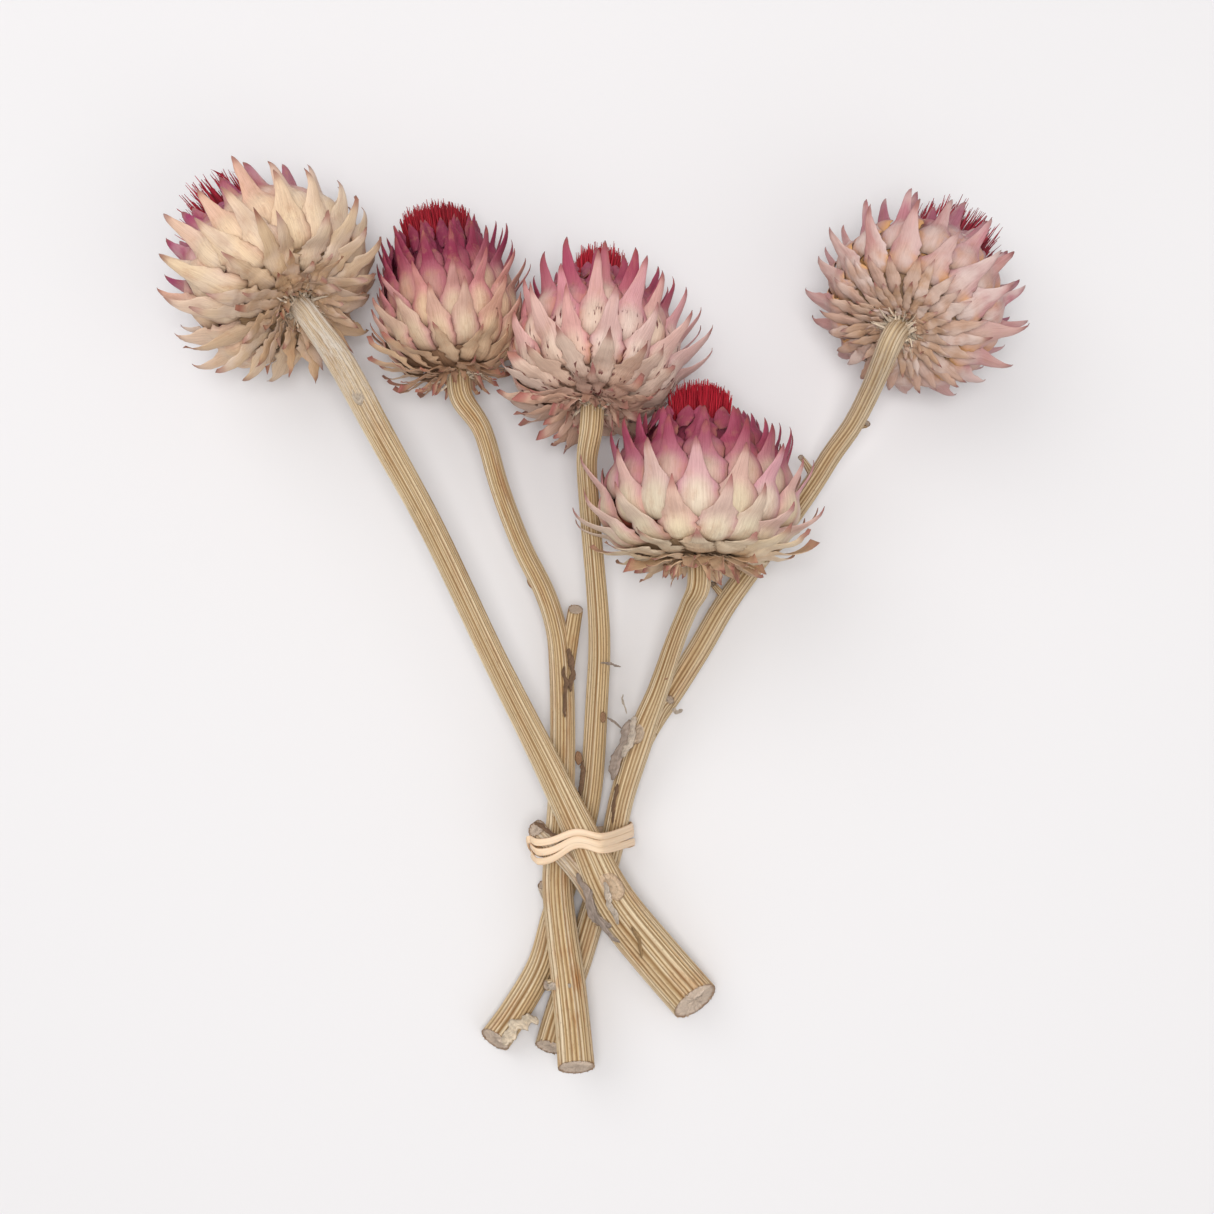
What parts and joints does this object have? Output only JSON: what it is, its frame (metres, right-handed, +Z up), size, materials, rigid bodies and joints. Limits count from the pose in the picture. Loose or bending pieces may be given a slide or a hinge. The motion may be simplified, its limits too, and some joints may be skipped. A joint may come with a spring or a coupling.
{
  "type": "bunch of dried artichoke flowers",
  "caption": "Dried artichoke flowers with rows of spiny bracts round red florets, on ribbed cut stems tied with a rubber band, lying flat.",
  "frame": {"origin": "on the surface the bunch lies on, under the middle of its overall box", "axes": "+Y from the cut ends towards the flowers, +Z up from the surface, +X to the side of the flower on the long branch of the forked stem"},
  "size_m": [0.4308, 0.4596, 0.1208],
  "materials": {
    "stem": "dry ribbed stalk, straw and olive brown",
    "bract_base": "dry papery bract, tan",
    "bract_belly": "dry papery bract, cream with a pink blush",
    "bract_crown": "dry papery bract, pink to purple",
    "florets": "matt dry bristles, deep red",
    "rubber_band": "pale beige rubber"
  },
  "bodies": {
    "root": {"stem_1": "stem", "stem_2": "stem", "stem_3": "stem", "forked_stem": "stem", "head_1_bract_row_1": "bract_base", "head_1_bract_row_2": "bract_base", "head_1_bract_row_3": "bract_belly", "head_1_bract_row_4": "bract_belly", "head_1_bract_row_5": "bract_belly", "head_1_bract_row_6": "bract_crown", "head_1_bract_row_7": "bract_crown", "head_1_florets": "florets", "head_2_bract_row_1": "bract_base", "head_2_bract_row_2": "bract_base", "head_2_bract_row_3": "bract_belly", "head_2_bract_row_4": "bract_belly", "head_2_bract_row_5": "bract_belly", "head_2_bract_row_6": "bract_crown", "head_2_bract_row_7": "bract_crown", "head_2_florets": "florets", "head_3_bract_row_1": "bract_base", "head_3_bract_row_2": "bract_base", "head_3_bract_row_3": "bract_belly", "head_3_bract_row_4": "bract_belly", "head_3_bract_row_5": "bract_belly", "head_3_bract_row_6": "bract_crown", "head_3_bract_row_7": "bract_crown", "head_3_florets": "florets", "head_4_bract_row_1": "bract_base", "head_4_bract_row_2": "bract_base", "head_4_bract_row_3": "bract_belly", "head_4_bract_row_4": "bract_belly", "head_4_bract_row_5": "bract_belly", "head_4_bract_row_6": "bract_crown", "head_4_bract_row_7": "bract_crown", "head_4_florets": "florets", "head_5_bract_row_1": "bract_base", "head_5_bract_row_2": "bract_base", "head_5_bract_row_3": "bract_belly", "head_5_bract_row_4": "bract_belly", "head_5_bract_row_5": "bract_belly", "head_5_bract_row_6": "bract_crown", "head_5_bract_row_7": "bract_crown", "head_5_florets": "florets", "rubber_band": "rubber_band"}
  },
  "joints": []
}
